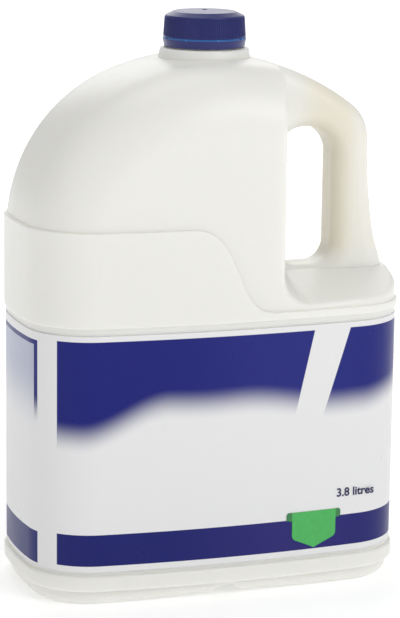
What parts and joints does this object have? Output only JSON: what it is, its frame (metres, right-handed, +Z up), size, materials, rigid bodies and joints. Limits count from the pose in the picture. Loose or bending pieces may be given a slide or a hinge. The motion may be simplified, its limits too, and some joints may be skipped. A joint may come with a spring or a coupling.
{
  "type": "plastic milk jug",
  "caption": "Filled flat-sided plastic jug with a domed shoulder, moulded side handle, wrap label and ribbed screw cap.",
  "frame": {"origin": "on the standing surface, under the middle of the jug", "axes": "+Z up, front faces -Y, handle at +X"},
  "size_m": [0.1954, 0.107, 0.2855],
  "materials": {
    "hdpe": "satin",
    "cap_plastic": "gloss",
    "label_film": "satin"
  },
  "bodies": {
    "root": {"jug": "hdpe", "cap": "cap_plastic", "label": "label_film"}
  },
  "joints": []
}
